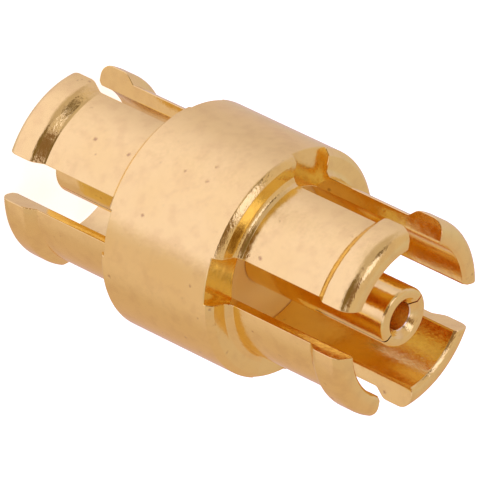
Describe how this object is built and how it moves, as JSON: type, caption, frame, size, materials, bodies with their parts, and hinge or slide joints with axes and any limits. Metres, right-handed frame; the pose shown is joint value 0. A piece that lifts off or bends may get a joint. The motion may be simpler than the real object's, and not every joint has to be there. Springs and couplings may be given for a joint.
{
  "type": "coaxial push-on bullet adapter",
  "caption": "Gold-plated coaxial bullet adapter: a short barrel with slotted spring-finger sockets at both ends and a split centre contact held in an insulating bead.",
  "frame": {"origin": "on the adapter's axis at the middle of the barrel, halfway between the two ends", "axes": "+Z along the adapter's axis, and the saw cuts that part the fingers lie along X and Y; the adapter stands on the finger tips of its -Z end"},
  "size_m": [0.0034, 0.0034, 0.0064],
  "materials": {
    "gold_plate": "satin gold plating",
    "fluoropolymer": "matt, slightly translucent white"
  },
  "bodies": {
    "root": {"outer_conductor": "gold_plate", "insulator": "fluoropolymer", "centre_contact": "gold_plate"}
  },
  "joints": []
}
